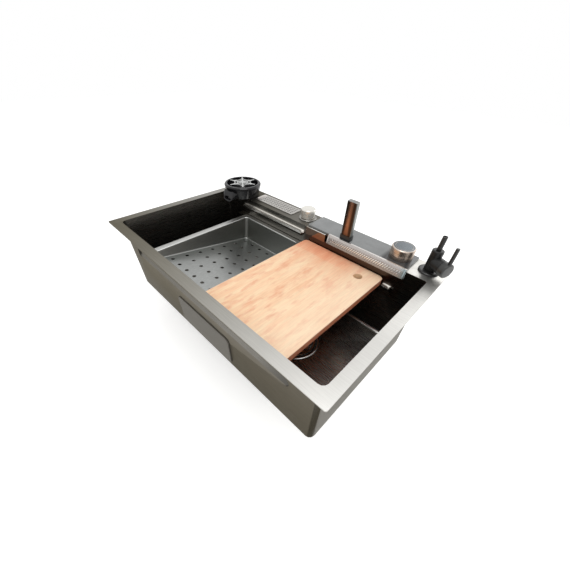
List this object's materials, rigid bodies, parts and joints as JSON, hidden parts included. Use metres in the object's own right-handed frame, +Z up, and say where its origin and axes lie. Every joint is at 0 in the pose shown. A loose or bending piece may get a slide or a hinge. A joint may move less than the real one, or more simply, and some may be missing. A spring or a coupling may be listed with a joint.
{
  "type": "workstation kitchen sink",
  "caption": "Top-mount workstation kitchen sink: ledge-borne board and sloped colander, waterfall and rain outlet, lift-up tap, cup rinser, deck grate, drain knob and filter tap",
  "frame": {"origin": "middle of the rim, on the plane of the worktop that the rim lies on", "axes": "+X to the right along the front edge, +Y from the front rim to the rear deck, +Z up"},
  "size_m": [0.7548, 0.46, 0.413],
  "materials": {
    "bowl_steel": "satin brushed dark stainless steel",
    "colander_steel": "satin dark stainless steel",
    "polished_steel": "polished",
    "bar_steel": "fine brushed, light",
    "knob_steel": "turned, with a bright chamfer",
    "mirror_dark": "dark mirror plating",
    "panel_glass": "tinted glass, polished",
    "black_paint": "satin black",
    "black_plastic": "moulded, matt",
    "grey_plastic": "moulded, matt",
    "brass": "machined",
    "rubber": "matt",
    "pad": "matt sound-deadening pad",
    "board_wood": "oiled, warm reddish brown"
  },
  "bodies": {
    "sink": {"sink_bowl": "bowl_steel", "rim_sealing_tape": "rubber", "sound_pad_front": "pad", "sound_pad_rear": "pad", "sound_pad_left": "pad", "strainer_body": "polished_steel", "strainer_gasket": "rubber", "strainer_nut": "black_plastic", "basket_pin_guide": "grey_plastic", "waste_tailpiece": "grey_plastic", "waste_nut": "grey_plastic", "overflow_cover": "polished_steel", "overflow_housing": "black_plastic", "drip_tray": "colander_steel", "rinser_pan": "black_paint", "rinser_spring": "polished_steel", "rinser_shank": "brass", "rinser_washer": "rubber", "rinser_nut": "brass", "drain_knob_base": "polished_steel", "drain_knob_nut": "brass", "drain_cable_gland": "black_plastic", "panel_gasket": "rubber", "panel_glass": "panel_glass", "rain_bar": "bar_steel", "rain_bar_cap_left": "bar_steel", "rain_bar_cap_right": "bar_steel", "waterfall_outlet": "mirror_dark", "outlet_housing": "black_plastic", "cold_inlet": "brass", "hot_inlet": "brass", "column_collar": "black_paint", "column_guide": "grey_plastic", "column_guide_stop": "grey_plastic", "mixer_cartridge": "brass", "mixer_nut": "brass", "tap_flange": "black_paint", "tap_body": "black_paint", "tap_shank": "brass", "tap_nut": "brass"},
    "basket_body": {"strainer_basket": "polished_steel", "basket_seal": "rubber"},
    "board_body": {"cutting_board": "board_wood"},
    "colander_body": {"colander": "colander_steel"},
    "grate_body": {"deck_grate": "bar_steel"},
    "star_body": {"rinser_star": "polished_steel"},
    "drain_knob_body": {"drain_knob": "polished_steel", "drain_knob_spindle": "brass"},
    "mixer_knob_body": {"mixer_knob": "knob_steel"},
    "column_body": {"tap_column": "mirror_dark"},
    "spout_body": {"tap_spout": "black_paint"},
    "lever_body": {"tap_lever_cap": "black_paint", "tap_lever_rod": "black_paint"}
  },
  "joints": [
    {"name": "board_slide", "type": "slide", "parent": "sink", "child": "board_body", "axis": [1, 0, 0], "range_m": [0, 0.084]},
    {"name": "colander_slide", "type": "slide", "parent": "sink", "child": "colander_body", "axis": [1, 0, 0], "range_m": [-0.09, 0]},
    {"name": "grate_lift", "type": "slide", "parent": "sink", "child": "grate_body", "axis": [0, 0, 1], "range_m": [0, 0.03]},
    {"name": "star_press", "type": "slide", "parent": "sink", "child": "star_body", "axis": [0, 0, -1], "range_m": [0, 0.004], "stiffness_N_per_m": 1500, "springref_m": -0.003, "deforming": ["rinser_spring"]},
    {"name": "drain_knob_turn", "type": "hinge", "parent": "sink", "child": "drain_knob_body", "pos_m": [-0.0245, 0.195, 0.019], "axis": [0, 0, -1], "range_deg": [0, 90]},
    {"name": "basket_lift", "type": "slide", "parent": "sink", "child": "basket_body", "axis": [0, 0, 1], "range_m": [0, 0.008]},
    {"name": "mixer_turn", "type": "hinge", "parent": "sink", "child": "mixer_knob_body", "pos_m": [0.2655, 0.197, 0.022], "axis": [0, 0, 1], "range_deg": [-60, 60]},
    {"name": "column_lift", "type": "slide", "parent": "sink", "child": "column_body", "axis": [0, 0, 1], "range_m": [0, 0.1]},
    {"name": "spout_swivel", "type": "hinge", "parent": "sink", "child": "spout_body", "pos_m": [0.3355, 0.1975, 0.0665], "axis": [0, 0, 1], "range_deg": [-90, 90]},
    {"name": "lever_turn", "type": "hinge", "parent": "sink", "child": "lever_body", "pos_m": [0.3355, 0.1975, 0.028], "axis": [0.9135, -0.4067, 0], "range_deg": [0, 90]}
  ],
  "couplings": [
    {"joint": "basket_lift", "follows": "drain_knob_turn", "m_per_rad": 0.005093}
  ]
}
